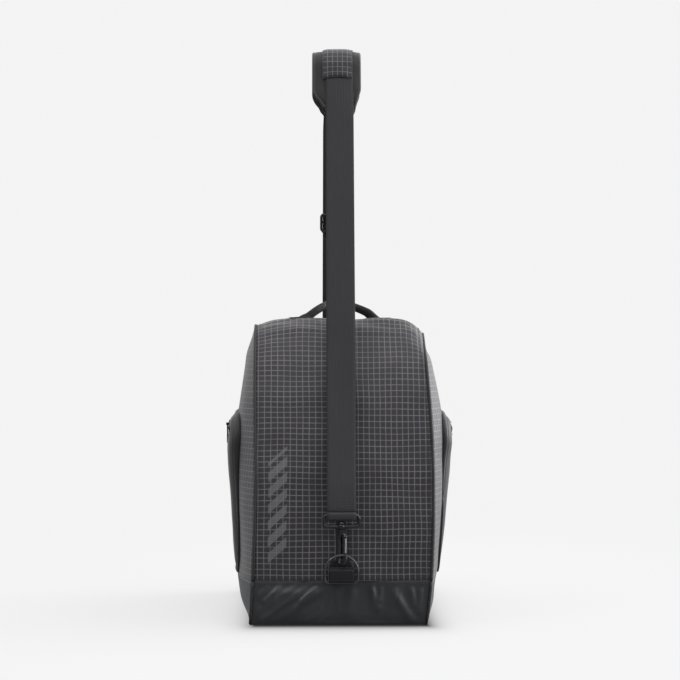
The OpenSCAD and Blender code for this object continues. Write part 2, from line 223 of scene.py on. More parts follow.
def noiseTone(tree, vector, scale, detail=2):
    node = tree.nodes.new("ShaderNodeTexNoise")
    node.inputs["Detail"].default_value = detail
    tree.links.new(vector, node.inputs["Vector"])
    feed(tree, node.inputs["Scale"], scale)
    return node.outputs["Fac"]


def lineMask(tree, value, cell, width):
    # 1 on a line at every whole cell, fading to 0 beside it
    part = fraction(tree, over(tree, value, cell))
    away = magnitude(tree, minus(tree, part, 0.5))
    edge = times(tree, minus(tree, 0.5, away), cell)
    soft = over(tree, edge, width)
    return minus(tree, 1.0, smoothStep(tree, soft, 0.3, 0.75))


def ripstopGroup():
    # grid of thicker threads over a plain weave; distances in metres on the cloth
    group, given, out = newGroup("ripstopGrid", [
        ("Cloth", "NodeSocketVector", None), ("Cell Across", "NodeSocketFloat", 0.0084),
        ("Cell Along", "NodeSocketFloat", 0.0074), ("Line Width", "NodeSocketFloat", 0.00105)],
        ["Lines", "Weave", "Height"])
    split = splitVector(group, given["Cloth"])
    across = lineMask(group, split["X"], given["Cell Across"], given["Line Width"])
    along = lineMask(group, split["Y"], given["Cell Along"], given["Line Width"])
    both = plus(group, across, along)
    # each thick thread dips under its neighbours, so the line is broken into small dashes
    dash = calc(group, "SINE", times(group, split["X"], 5200.0))
    dash2 = calc(group, "SINE", times(group, split["Y"], 5200.0))
    weave = timesPlus(group, times(group, dash, dash2), 0.5, 0.5)
    lines = times(group, both, timesPlus(group, weave, 0.35, 0.65))
    uneven = timesPlus(group, noiseTone(group, given["Cloth"], 900), 0.7, 0.65)
    patches = timesPlus(group, noiseTone(group, given["Cloth"], 38), 1.5, 0.25)
    uneven = times(group, uneven, patches)
    group.links.new(times(group, lines, uneven), out["Lines"])
    group.links.new(weave, out["Weave"])
    group.links.new(timesPlus(group, both, 0.6, times(group, weave, 0.3)),
                    out["Height"])
    return group


def webbingGroup():
    # ribs that run along the webbing, crossed by fine picks
    group, given, out = newGroup("webbingRibs", [
        ("Cloth", "NodeSocketVector", None), ("Rib", "NodeSocketFloat", 0.0021),
        ("Pick", "NodeSocketFloat", 0.0012)], ["Rib", "Height"])
    split = splitVector(group, given["Cloth"])
    part = over(group, split["X"], given["Rib"])
    saw = magnitude(group, minus(group, fraction(group, part), 0.5))
    lean = plus(group, over(group, split["Y"], given["Pick"]),
                times(group, saw, 2.0))
    pick = magnitude(group, minus(group, fraction(group, lean), 0.5))
    rib = smoothStep(group, saw, 0.02, 0.34)
    group.links.new(rib, out["Rib"])
    group.links.new(timesPlus(group, pick, 0.9, rib), out["Height"])
    return group


def mottleGroup():
    # slow change of tone over a piece, and fine grain
    group, given, out = newGroup("mottle", [
        ("Vector", "NodeSocketVector", None), ("Scale", "NodeSocketFloat", 18.0),
        ("Grain Scale", "NodeSocketFloat", 700.0)], ["Tone", "Grain"])
    for label, scale, detail in (("Tone", "Scale", 3), ("Grain", "Grain Scale", 2)):
        group.links.new(noiseTone(group, given["Vector"], given[scale], detail), out[label])
    return group


groups = {"ripstop": ripstopGroup(), "webbing": webbingGroup(), "mottle": mottleGroup()}


def addGroup(tree, name, source, **values):
    node = tree.nodes.new("ShaderNodeGroup")
    node.node_tree = groups[name]
    tree.links.new(source, node.inputs[0])
    for label, value in values.items():
        node.inputs[label].default_value = value
    return node.outputs


def clothVector(tree):
    node = tree.nodes.new("ShaderNodeUVMap")
    node.uv_map = "cloth"
    return node.outputs["UV"]


def bump(tree, shader, height, strength, distance):
    node = tree.nodes.new("ShaderNodeBump")
    node.inputs["Strength"].default_value = strength
    node.inputs["Distance"].default_value = distance
    tree.links.new(height, node.inputs["Height"])
    tree.links.new(node.outputs["Normal"], shader.inputs["Normal"])


def gridCloth(name, across, along, base, line, printAt=None):
    material, tree, shader = newMaterial(name)
    cloth = clothVector(tree)
    ripstop = addGroup(tree, "ripstop", cloth, **{"Cell Across": across, "Cell Along": along})
    mottle = addGroup(tree, "mottle", cloth, Scale=14.0)
    colour = mixColour(tree, mottle["Tone"], tuple(0.72 * c for c in base), base)
    if printAt:
        colour = mixColour(tree, barPrint(tree, cloth, printAt), colour, printAt["colour"])
    colour = mixColour(tree, ripstop["Lines"], colour, line)
    setShader(tree, shader, Base_Color=colour, Roughness=timesPlus(tree, mottle["Grain"], 0.2, 0.42),
              Specular_IOR_Level=0.35, Sheen_Weight=0.25, Sheen_Roughness=0.4)
    bump(tree, shader, ripstop["Height"], 0.35, 0.0003)
    return material


def barPrint(tree, cloth, at):
    # plain slanted bars in an upright strip
    x, y = splitVector(tree, cloth)[:2]
    slant = timesPlus(tree, x, at["slope"], y)
    inside = 1.0
    for value, (low, high) in ((x, at["x"]), (slant, at["y"])):
        inside = times(tree, inside, calc(tree, "GREATER_THAN", value, low))
        inside = times(tree, inside, calc(tree, "LESS_THAN", value, high))
    part = fraction(tree, over(tree, minus(tree, slant, at["y"][0]), at["pitch"]))
    return times(tree, inside, calc(tree, "LESS_THAN", part, at["share"]))


clothLook = {"scale": 22.0, "grain": 1400.0, "dark": 0.7, "light": 1.25, "strength": 0.4, "rise": 0.0002}
hardLook = {"scale": 160.0, "grain": 2600.0, "dark": 0.8, "light": 1.2, "strength": 0.15, "rise": 0.0001}


def mottled(name, base, rough, look, wear=None, **shine):
    # one colour that changes slowly over the piece, with fine grain
    material, tree, shader = newMaterial(name)
    where = tree.nodes.new("ShaderNodeTexCoord").outputs["Object"]
    mottle = addGroup(tree, "mottle", where, Scale=look["scale"], **{"Grain Scale": look["grain"]})
    dark, light = (tuple(look[share] * c for c in base) for share in ("dark", "light"))
    colour = mixColour(tree, mottle["Tone"], dark, light)
    if wear:
        spots = smoothStep(tree, mottle["Tone"], 0.6, 0.74)
        colour = mixColour(tree, times(tree, spots, 0.4), colour, wear)
    setShader(tree, shader, Base_Color=colour, Roughness=timesPlus(tree, mottle["Tone"], 0.2, rough - 0.1), **shine)
    bump(tree, shader, mottle["Grain"], look["strength"], look["rise"])
    return material


def plainCloth(name, base, rough, sheen=0.2, coat=0.0, spec=0.4, bumpSize=0.0002, coatRough=0.3):
    return mottled(name, base, rough, {**clothLook, "rise": bumpSize}, Specular_IOR_Level=spec, Sheen_Weight=sheen,
                   Sheen_Roughness=0.45, Coat_Weight=coat, Coat_Roughness=coatRough)


def hardMaterial(name, base, rough, metallic=0.0, coat=0.0, wear=None):
    return mottled(name, base, rough, hardLook, wear, Metallic=metallic, Coat_Weight=coat, Coat_Roughness=0.2)


def webbingMaterial(name, base, edge, rib=0.0021):
    material, tree, shader = newMaterial(name)
    cloth = clothVector(tree)
    webbing = addGroup(tree, "webbing", cloth, Rib=rib)
    mottle = addGroup(tree, "mottle", cloth, Scale=40.0)
    # the grooves between the ribs take the darker edge colour: painted shade in the grooves; the next line also mixes
    # it in at random
    colour = mixColour(tree, webbing["Rib"], edge, base)
    colour = mixColour(tree, times(tree, mottle["Tone"], 0.35), colour, edge)
    setShader(tree, shader, Base_Color=colour, Roughness=timesPlus(tree, mottle["Grain"], 0.2, 0.5),
              Specular_IOR_Level=0.2, Sheen_Weight=0.08, Sheen_Roughness=0.4)
    bump(tree, shader, webbing["Height"], 0.45, 0.0004)
    return material


gridShade = {"base": (0.031, 0.029, 0.036), "line": (0.155, 0.148, 0.16)}
barMark = {"x": (-0.0955, -0.071), "y": (0.168, 0.299), "slope": -0.9, "pitch": 0.021, "share": 0.6,
           "colour": (0.105, 0.107, 0.112)}
finish = {
    "gridLeft": gridCloth("gridClothLeft", 0.0084, 0.0074, gridShade["base"], gridShade["line"], barMark),
    "gridRight": gridCloth("gridClothRight", 0.0074, 0.0084, gridShade["base"], gridShade["line"]),
    "gridPad": gridCloth("gridClothPad", 0.0074, 0.0084, (0.022, 0.021, 0.026), (0.13, 0.125, 0.135)),
    # the same grid cloth with a lighter base colour: painted sheen for the grazing light on the side panels
    "gridSidePaintedSheen": gridCloth("gridClothSidePaintedSheen", 0.0084, 0.0074, (0.052, 0.05, 0.057), (0.16, 0.155, 0.165)),
    "tarp": plainCloth("tarpaulin", (0.021, 0.023, 0.027), 0.46, sheen=0.05, coat=0.28, spec=0.42, coatRough=0.42),
    "pocket": plainCloth("pocketCloth", (0.022, 0.022, 0.025), 0.55),
    "lining": plainCloth("lining", (0.09, 0.09, 0.095), 0.7),
    "piping": plainCloth("pipingCloth", (0.02, 0.0195, 0.022), 0.6, sheen=0.1),
    "padCloth": plainCloth("paddedCloth", (0.014, 0.014, 0.015), 0.65, bumpSize=0.0006),
    "binding": plainCloth("bindingTape", (0.022, 0.022, 0.024), 0.55, bumpSize=0.0004),
    "board": plainCloth("baseBoard", (0.05, 0.05, 0.05), 0.6, sheen=0.0),
    "webbing": webbingMaterial("strapWebbing", (0.043, 0.0425, 0.049), (0.033, 0.033, 0.038)),
    "blackWebbing": webbingMaterial("blackWebbing", (0.018, 0.018, 0.02), (0.008, 0.008, 0.009), 0.0016),
    "thread": plainCloth("thread", (0.03, 0.03, 0.034), 0.6, spec=0.5),
    "blackMetal": hardMaterial("blackMetal", (0.04, 0.042, 0.046), 0.33, 0.8, 0.2, (0.13, 0.13, 0.135)),
    "ringMetal": hardMaterial("ringMetal", (0.1, 0.103, 0.11), 0.3, 0.9, 0.1),
    "gateMetal": hardMaterial("gateMetal", (0.6, 0.6, 0.61), 0.28, 1.0),
    "plastic": hardMaterial("blackPlastic", (0.012, 0.012, 0.013), 0.45),
    "coil": hardMaterial("zipCoil", (0.01, 0.01, 0.011), 0.4),
}
print("materials ready")

# outlines of the bag, in millimetres: height, then distance from the middle

# for each: how soft, then the points
outline = {
    "end": (5, [(0, 197), (12, 200), (58, 200), (100, 199), (150, 193.5), (200, 185), (250, 171), (300, 154),
                (340, 135), (365, 119), (378, 109), (390, 97), (397, 87), (400, 76)]),
    # the soft ends sag a little to the right
    "seamLeft": (8, [(0, 118), (10, 117), (58, 113.8), (130, 111.3), (200, 110.5), (300, 112.3), (400, 113)]),
    "seamRight": (8, [(0, 109), (12, 111), (60, 116), (130, 119), (200, 119.6), (250, 118.6), (300, 116),
                      (340, 113.5), (372, 112), (400, 111.5)]),
    # how far each side draws in from its even shape
    "trimLeft": (6, [(0, 7), (12, 5), (25, 2.5), (58, 1.5), (90, 2.2), (340, 2), (352, 0.5), (400, 0)]),
    "trimRight": (6, [(0, 11), (35, 12.5), (52, 12), (68, 9), (85, 7.6), (118, 6), (152, 5), (219, 4), (236, 1),
                      (252, 0.5), (270, 1), (286, 2), (336, 3.5), (360, 3), (400, 0)]),
    "side": (8, [(0, 122), (12, 132), (20, 136), (58, 142), (150, 146), (230, 146), (275, 142), (302, 137),
                 (330, 132), (358, 127), (386, 120), (400, 116)]),
    "pocket": (5, [(62, 145), (68, 145.5), (150, 150.5), (230, 155.5), (261, 153.1), (272, 150.5)]),
    # how far the top of the bag stands above or below its level, over its width
    "crownLeft": (6, [(-118, -9), (-108, -6.5), (-92, -1.5), (-56, 2.5), (-24, 0.5), (0, -1)]),
    "crownRight": (4, [(0, -1), (24, 0), (56, 1.2), (84, 0), (96, -3.5), (106, -10.5), (112, -18), (118, -27)]),
}
tubTop = 58.0
bagTop = 400.0
wall = 3.0
pocketCurve = 1600.0


def soften(values, weights):
    # the ends are mirrored through their own value, so they stay where they are
    reach = len(weights) // 2
    padded = np.concatenate([2 * values[0] - values[reach:0:-1], values,
                             2 * values[-1] - values[-2:-reach - 2:-1]])
    return np.convolve(padded, weights / weights.sum(), "valid")


def softTable(soft, points):
    step = 0.5
    fine = np.arange(points[0][0], points[-1][0] + step, step)
    reach = int(3 * soft / step)
    weights = np.exp(-0.5 * (np.arange(-reach, reach + 1) * step / soft) ** 2)
    smooth = soften(np.interp(fine, *zip(*points)), weights)
    return lambda z: float(np.interp(z, fine, smooth))


tables = {name: softTable(*rows) for name, rows in outline.items()}
endY = tables["end"]


def sided(name, sign):
    return tables[name + ("Left" if sign < 0 else "Right")]


def seamX(z, sign):
    return sided("seam", sign)(z)


def sideX(z, y, sign):
    edge = seamX(z, sign) + wall
    t = min(1.0, abs(y) / endY(z))
    return edge + max(0.0, tables["side"](z) - sided("trim", sign)(z) - edge) * (1 - t ** 3)


def pocketX(z, y, sign):
    return tables["pocket"](z) - sided("trim", sign)(z) - y * y / (2 * pocketCurve)


def ease(t):
    t = max(0.0, min(1.0, t))
    return t * t * (3 - 2 * t)


def settle(x, y, z):
    # the soft top sinks and swells a little; x, y, z in millimetres, result in metres
    lift = sided("crown", 1 if x > 0 else -1)(x) * ease((z - 335) / 62)
    return point(x, y, z + lift)


def makeWay():
    up = np.arange(0, bagTop + 0.5, 1.0)
    low = [-endY(z) for z in up]
    flat = np.arange(low[-1] + 2, -low[-1] - 1, 2.0)
    ys = np.concatenate([low, flat, [-y for y in reversed(low)]])
    zs = np.concatenate([up, np.full(len(flat), bagTop), up[::-1]])
    steps = np.hypot(np.diff(ys), np.diff(zs))
    return np.concatenate([[0], np.cumsum(steps)]), ys, zs


wayS, wayY, wayZ = makeWay()
wayLength = float(wayS[-1])
rise = int(bagTop) + 1
frontSeam = float(np.interp(tubTop, wayZ[:rise], wayS[:rise]))


def wayAt(s):
    # point and outward normal on the way over the bag, front floor to rear floor
    y, z = np.interp(s, wayS, wayY), np.interp(s, wayS, wayZ)
    ahead = [np.interp(min(wayLength, s + 5), wayS, a) for a in (wayY, wayZ)]
    behind = [np.interp(max(0, s - 5), wayS, a) for a in (wayY, wayZ)]
    dy, dz = ahead[0] - behind[0], ahead[1] - behind[1]
    size = math.hypot(dy, dz)
    return float(y), float(z), -dz / size, dy / size


# making pieces


def deselect():
    bpy.ops.object.select_all(action="DESELECT")


def pick(piece):
    deselect()
    piece.select_set(True)
    bpy.context.view_layer.objects.active = piece


def modify(piece, kind, **settings):
    pick(piece)
    modifier = piece.modifiers.new(kind.title(), kind)
    for label, value in settings.items():
        setattr(modifier, label, value)
    bpy.ops.object.modifier_apply(modifier=modifier.name)


def gridPiece(name, cols, rows, place, material, uv=None):
    # a flat grid, its points moved by place(u, v), each from 0 to 1
    deselect()
    bpy.ops.mesh.primitive_grid_add(x_subdivisions=cols, y_subdivisions=rows, size=1)
    piece = bpy.context.object
    piece.name = name
    mesh = piece.data
    mesh.uv_layers[0].name = "cloth"
    for corner in mesh.uv_layers[0].data:
        u, v = corner.uv
        corner.uv = uv(u, v) if uv else (u, v)
    for vertex in mesh.vertices:
        vertex.co = place(vertex.co.x + 0.5, vertex.co.y + 0.5)
    outward = sum(face.normal.dot(face.center - Vector((0, 0, 0.2))) * face.area for face in mesh.polygons)
    if outward < 0:
        mesh.flip_normals()
    mesh.materials.append(material)
    bpy.ops.object.shade_smooth()
    return piece


def mend(piece, caps=False):
    mesh = bmesh.new()
    mesh.from_mesh(piece.data)
    bmesh.ops.remove_doubles(mesh, verts=mesh.verts, dist=0.02 * mm)
    if caps:
        bmesh.ops.holes_fill(mesh, edges=[e for e in mesh.edges if e.is_boundary], sides=0)
    bmesh.ops.recalc_face_normals(mesh, faces=mesh.faces)
    mesh.to_mesh(piece.data)
    mesh.free()


def sheetUv(width, height):
    return lambda u, v: (u * width, v * height)


def thicken(piece, thickness, offset=-1, inside=None):
    if inside:
        piece.data.materials.append(finish[inside])
    modify(piece, "SOLIDIFY", thickness=thickness, offset=offset, use_even_offset=False,
           material_offset=1 if inside else 0)


def tubePiece(name, points, radius, material, sides=12, closed=False, flat=1.0, up=Vector((0, 0, 1))):
    # round or flattened rod along points in metres; radius may be a function of the way along, 0 to 1
    count = len(points) - (0 if closed else 1)
    lengths = [0.0]
    for a, b in zip(points, points[1:] + points[:1]):
        lengths.append(lengths[-1] + (b - a).length)
    total = lengths[count]
    size = radius if callable(radius) else lambda t: radius

    def spot(v):
        i = min(int(round(v * count)), count)
        here = points[i % len(points)]
        after = points[(i + 1) % len(points)] if closed or i < count else points[i]
        before = points[i - 1] if closed or i > 0 else points[0]
        along = (after - before).normalized()
        side = along.cross(up)
        side = side.normalized() if side.length > 1e-3 else along.orthogonal().normalized()
        return here, side, side.cross(along), lengths[i]

    def place(u, v):
        here, side, top, way = spot(v)
        r = size(way / total)
        angle = 2 * math.pi * u
        return here + side * (r * math.cos(angle)) + top * (r * flat * math.sin(angle))

    around = 2 * math.pi * size(0.5)
    piece = gridPiece(name, sides, count, place, material, lambda u, v: (u * around, v * total))
    mend(piece, caps=not closed)
    return piece


def copyEach(name, kind, spots, label, body, slotName, bend=False):
    # one mesh with a copy of the template's shape at each matrix
    mesh = bmesh.new()
    for spot in spots:
        before = len(mesh.verts)
        mesh.from_mesh(seeds[kind])
        mesh.verts.ensure_lookup_table()
        bmesh.ops.transform(mesh, matrix=spot, verts=mesh.verts[before:])
    data = bpy.data.meshes.new(name)
    mesh.to_mesh(data)
    mesh.free()
    piece = bpy.data.objects.new(name, data)
    bpy.context.collection.objects.link(piece)
    data.materials.append(finish[label])
    dress(piece, body, slotName, bend=bend)


def seedMesh(kind):
    # small shapes that are copied many times
    deselect()
    if kind == "stitch":
        bpy.ops.mesh.primitive_uv_sphere_add(segments=6, ring_count=4, radius=1)
    else:
        bpy.ops.mesh.primitive_cube_add(size=1)
        modify(bpy.context.object, "BEVEL", width=0.22, segments=1)
    bpy.ops.object.shade_smooth()
    seed = bpy.context.object
    mesh = seed.data.copy()
    bpy.data.objects.remove(seed)
    return mesh


seeds = {kind: seedMesh(kind) for kind in ("stitch", "tooth")}
stitch = {"long": 0.0014, "thick": 0.00032, "pitch": 0.0036}


def spotMatrix(here, along, normal, sizes):
    along = along.normalized()
    normal = (normal - along * normal.dot(along)).normalized()
    side = normal.cross(along)
    turned = Matrix((along, side, normal)).transposed().to_4x4()
    return Matrix.Translation(here) @ turned @ Matrix.Diagonal((*sizes, 1))


def stitchRow(name, points, normals, body, slotName, bend=False):
    # raised stitches at an even pitch along a line on a surface, with one normal or one for each point
    if isinstance(normals, Vector):
        normals = [normals] * len(points)
    sizes = (stitch["long"], stitch["thick"], stitch["thick"])
    spots = []
    carry = 0.0
    for i in range(len(points) - 1):
        step = points[i + 1] - points[i]
        way = carry
        while way < step.length:
            here = points[i] + step * (way / step.length)
            spots.append(spotMatrix(here, step, normals[i], sizes))
            way += stitch["pitch"]
        carry = way - step.length
    copyEach(name, "stitch", spots, "thread", body, slotName, bend)


def rod(name, points, radius, label, body, slotName, *replaced, bend=False, **shape):
    dress(tubePiece(name, points, radius, finish[label], **shape), body, slotName, *replaced, bend=bend)


def sheet(name, cols, rows, place, label, uv, thick, body, slotName, *replaced, bend=False, closed=False, **skin):
    piece = gridPiece(name, cols, rows, place, finish[label], uv)
    if closed:
        mend(piece)
    thicken(piece, thick, **skin)
    dress(piece, body, slotName, *replaced, bend=bend)


def dress(piece, body, slotName, *replaced, bend=False):
    # bend: cloth sewn to the tub, which turns over the seam as its half folds open; such a piece only gets its place
    # baked in and is not attached to its body
    if bend:
        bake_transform(piece)
    else:
        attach(piece, body)
    if replaced:
        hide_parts(*replaced)


def wrinkle(x, y, z, size, scale):
    return size * noise.noise(Vector((x, y, z)) * scale)


def edgeFade(a, b, reach):
    # 0 on either edge, 1 away from both
    return ease(min(a, b) / reach)


sides = (("left", -1), ("right", 1))
ends = (("front", -1), ("rear", 1))

# walls of grid cloth

pipingRadius = 0.0018
cloth = {"thick": 0.0014, "zipHalf": 6.0, "slack": 1.9, "pucker": 1.2, "roll": 2.2}


def gussetPush(x, s, z, inner, outer):
    # how far the cloth stands out of its smooth shape
    fade = edgeFade(abs(x) - inner, outer - abs(x), 16)
    way = min(s, wayLength - s)
    push = wrinkle(x, way, 3, cloth["slack"], 0.017)
    push += wrinkle(x * 0.45, way * 1.6, 40, cloth["roll"], 0.05) * ease((z - 345) / 40)
    pucker = math.exp(-(way - frontSeam) / 11)
    push += wrinkle(x, way * 0.3, 9, cloth["pucker"], 0.11) * pucker
    return push * fade


def makeGusset(side, sign):
    inner = cloth["zipHalf"]

    def spot(u, v):
        s = frontSeam + 0.3 + v * (wayLength - 2 * frontSeam - 0.6)
        y, z, ny, nz = wayAt(s)
        outer = seamX(z, sign)
        x = -outer + u * (outer - inner) if sign < 0 else inner + u * (outer - inner)
        return x, y, z, ny, nz, s, outer

    def place(u, v):
        x, y, z, ny, nz, s, outer = spot(u, v)
        push = gussetPush(x, s, z, inner, outer)
        return settle(x, y + ny * push, z + nz * push)

    def uv(u, v):
        x, y, z, ny, nz, s, outer = spot(u, v)
        return (x + wrinkle(x, s, 60, 1.0, 0.02)) * mm, (s + wrinkle(x, s, 90, 1.2, 0.02)) * mm

    sheet(side + "Gusset", 26, 230, place, "grid" + side.title(), uv, cloth["thick"],
          side + "_half", "grid_cloth", side + "_gusset", bend=True, inside="lining")


def rollUnder(z):
    # the bottom edge of the tub is rounded: how far it draws in
    t = max(0.0, (5.0 - z) / 5.0)
    return 3.0 * (1 - math.sqrt(max(0.0, 1 - t * t)))


def makeSideWall(side, sign, low, high, name, label, slotName, node, rows, bend):
    def place(u, v):
        z = low + v * (high - low)
        y = sign * (2 * u - 1) * endY(z)
        fade = edgeFade(endY(z) - abs(y), min(z - low, high - z) + 6, 40)
        push = fade * wrinkle(y, z, sign * 7, 4.0, 0.011)
        x = sign * (sideX(z, y, sign) + push - rollUnder(z))
        return settle(x, y * (1 - rollUnder(z) / 200), z)

    def uv(u, v):
        z = low + v * (high - low)
        return sign * (2 * u - 1) * endY(z) * mm, z * mm

    sheet(name, 80, rows, place, label, uv, cloth["thick"], side + "_half" if bend else "tub", slotName, node,
          bend=bend, inside="lining")


def seamPoints(sign, low, high, step, x, out):
    # points along the way over the bag, x in from the seam and out from the cloth
    points, normals = [], []
    for s in np.arange(low, high + 0.01, (high - low) / round((high - low) / step)):
        y, z, ny, nz = wayAt(s)
        points.append(settle(sign * (seamX(z, sign) + x), y + ny * out, z + nz * out))
        normals.append(Vector((0, ny, nz)))
    return points, normals


def makePiping(side, sign):
    low, high = frontSeam + 0.6, wayLength - frontSeam - 0.6
    points = seamPoints(sign, low, high, 6, 1.2, -0.2)[0]
    rod(side + "Piping", points, pipingRadius, "piping", side + "_half", "piping", side + "_piping", bend=True,
        sides=10)
    stitchRow(side + "SeamStitch", *seamPoints(sign, low, high, 8, -4.5, 0.5), side + "_half", "piping", bend=True)


def makeBasePiping(side, sign):
    for end, way in ends:
        points = []
        for z in (57.6, 50, 42, 34, 26, 18, 12, 8, 5.5):
            points.append(point(sign * (seamX(z, sign) + 1.5), way * (endY(z) + 1.2), z))
        rod(end + side.title() + "CornerPiping", points, lambda t: pipingRadius * min(1, 0.25 + (1 - t) * 9),
            "piping", "tub", "piping", *([side + "_base_piping"] if way < 0 else []), sides=10)


# tarpaulin tub

# drag folds: start x, z, end x, z, height and half width, in millimetres
folds = [(-16, 55, -88, 5, 2.6, 5.0), (-42, 55, -101, 9, 2.4, 4.0), (-57, 55, -111, 17, 2.2, 4.5),
         (-76, 55, -100, 33, 2.0, 3.0), (-93, 55, -108, 40, 1.5, 2.6), (-30, 54, -52, 34, 1.4, 3.0),
         (16, 53, 8, 20, 0.9, 5.0), (38, 55, 47, 24, 1.6, 3.6), (52, 54, 50, 34, 1.3, 2.4),
         (72, 54, 66, 30, 1.2, 3.0), (68, 44, 92, 6, 1.8, 4.2), (90, 55, 94, 28, 1.6, 3.0),
         (104, 54, 101, 20, 1.5, 3.4)]


def foldPush(x, z):
    push = 0.0
    for x0, z0, x1, z1, high, wide in folds:
        dx, dz = x1 - x0, z1 - z0
        long = dx * dx + dz * dz
        t = max(0.0, min(1.0, ((x - x0) * dx + (z - z0) * dz) / long))
        away = math.hypot(x - x0 - t * dx, z - z0 - t * dz)
        rise = (1 - 0.35 * t) * (0.3 + 0.7 * ease(t / 0.3))
        push += high * rise * math.exp(-(away / ((1.1 + 0.5 * t) * wide)) ** 2)
    return push


def creasePush(x, z):
    # sharp little creases: they drag to the lower left on the left, and hang from the seam on the right
    drag = ease((-x - 5) / 40)
    across, along = (x - z) * 0.7, (x + z) * 0.7
    slant = noise.noise(Vector((across * 0.05, along * 0.012, 3.0)))
    hang = noise.noise(Vector((x * 0.05, z * 0.012, 8.0)))
    slant = max(0.0, 1 - abs(slant) * 3.5) ** 2 * 1.8
    hang = max(0.0, 1 - abs(hang) * 3.5) ** 2 * 1.3 * ease((z - 8) / 34)
    return slant * drag + hang * (1 - drag)


def makeEndBand(end, way):
    def spot(u, v):
        z = v * (tubTop - 0.2)
        left, right = seamX(z, -1), seamX(z, 1)
        return u * (left + right) - left, z, left, right

    def place(u, v):
        x, z, left, right = spot(u, v)
        fade = edgeFade(min(x + left, right - x), 0.6 * (tubTop - z) + 1, 10) * ease(z / 8)
        push = (1.9 * foldPush(x * -way, z) + creasePush(x * -way, z) - 0.8 + wrinkle(x, z, way * 5, 1.2, 0.03)) * fade
        return point(x * (1 - rollUnder(z) / 120), way * (endY(z) + push - rollUnder(z)), z)

    sheet(end + "TarpBand", 170, 48, place, "tarp", sheetUv(0.23, 0.058), cloth["thick"], "tub", "tarpaulin",
          end + "_tarp_band", inside="lining")
    points = [point(x, way * (endY(54) + 0.5), 54.5) for x in range(-112, 113, 8)]
    stitchRow(end + "TubStitch", points, Vector((0, way, 0)), "tub", "tarpaulin")


def makeTub():
    for end, way in ends:
        makeEndBand(end, way)
    for side, sign in sides:
        makeSideWall(side, sign, 0.0, tubTop - 0.2, side + "TarpBand", "tarp", "tarpaulin",
                     side + "_tarp_band", 24, False)
        makeBasePiping(side, sign)
    paint("base_panel", "tarp")
    paint("base_board", "board")


def paint(name, label):
    # a solid that is kept as it is and given a material
    data = nodes[name].data
    data.materials.clear()
    data.materials.append(finish[label])


for side, sign in sides:
    makeGusset(side, sign)
    # the side panels take the lighter grid cloth, with its painted sheen
    makeSideWall(side, sign, tubTop + 0.3, bagTop, side + "SidePanel", "gridSidePaintedSheen", "side_cloth",
                 side + "_side_panel", 90, True)
    makePiping(side, sign)
makeTub()
print("shell ready")

# main zip

zipper = {"gap": 0.5, "pitch": 2.2, "tooth": (0.0021, 0.0014, 0.0014), "proud": 0.9}


def makeMainZip(side, sign):
    low, high = frontSeam + 1.0, wayLength - frontSeam - 1.0

    def place(u, v):
        y, z, ny, nz = wayAt(low + v * (high - low))
        x = zipper["gap"] + 6.5 * u if sign > 0 else -zipper["gap"] - 6.5 * (1 - u)
        return settle(x, y + ny * 0.25, z + nz * 0.25)

    sheet(side + "ZipTape", 3, 180, place, "piping", sheetUv(0.006, 0.9), 0.0009, side + "_half", "zip",
          side + "_main_zip", bend=True)
    spots = []
    for s in np.arange(low + (zipper["pitch"] / 2 if sign > 0 else 0), high, zipper["pitch"]):
        y, z, ny, nz = wayAt(s)
        here = settle(sign * 1.7, y + ny * zipper["proud"], z + nz * zipper["proud"])
        spots.append(spotMatrix(here, Vector((1, 0, 0)), Vector((0, ny, nz)), zipper["tooth"]))
    copyEach(side + "ZipCoil", "tooth", spots, "coil", side + "_half", "zip", True)


for side, sign in sides:
    makeMainZip(side, sign)

# side pockets

pocket = {"low": 62.0, "high": 272.0, "length": 126.0, "topRound": 38.0, "footRound": 18.0, "zipLow": 248.0,
          "zipHigh": 257.0, "zipMiddle": 252.5, "zipHalf": 104.0, "drop": 4.5,
          "bow": 2.2, "bowCentre": 167, "bowReach": (150, 105)}


def pocketY(z):
    up = max(0.0, z - pocket["high"] + pocket["topRound"])
    down = max(0.0, pocket["low"] + pocket["footRound"] - z)
    r = pocket["topRound"] if up > 0 else pocket["footRound"]
    return pocket["length"] - r + math.sqrt(max(0.0, r * r - up * up - down * down))


def pocketOutline():
    # rounded rectangle, evenly walked: y, z pairs in millimetres
    rows = []
    zs = [pocket["low"] + (pocket["high"] - pocket["low"]) * 0.5 * (1 - math.cos(math.pi * i / 40))
          for i in range(41)]
    rows += [(pocketY(z), z) for z in zs]
    rows += [(y, pocket["high"]) for y in np.arange(pocketY(pocket["high"]) - 8, -pocketY(pocket["high"]), -8)]
    rows += [(-pocketY(z), z) for z in reversed(zs)]
    rows += [(y, pocket["low"]) for y in np.arange(-pocketY(pocket["low"]) + 8, pocketY(pocket["low"]), 8)]
    return rows


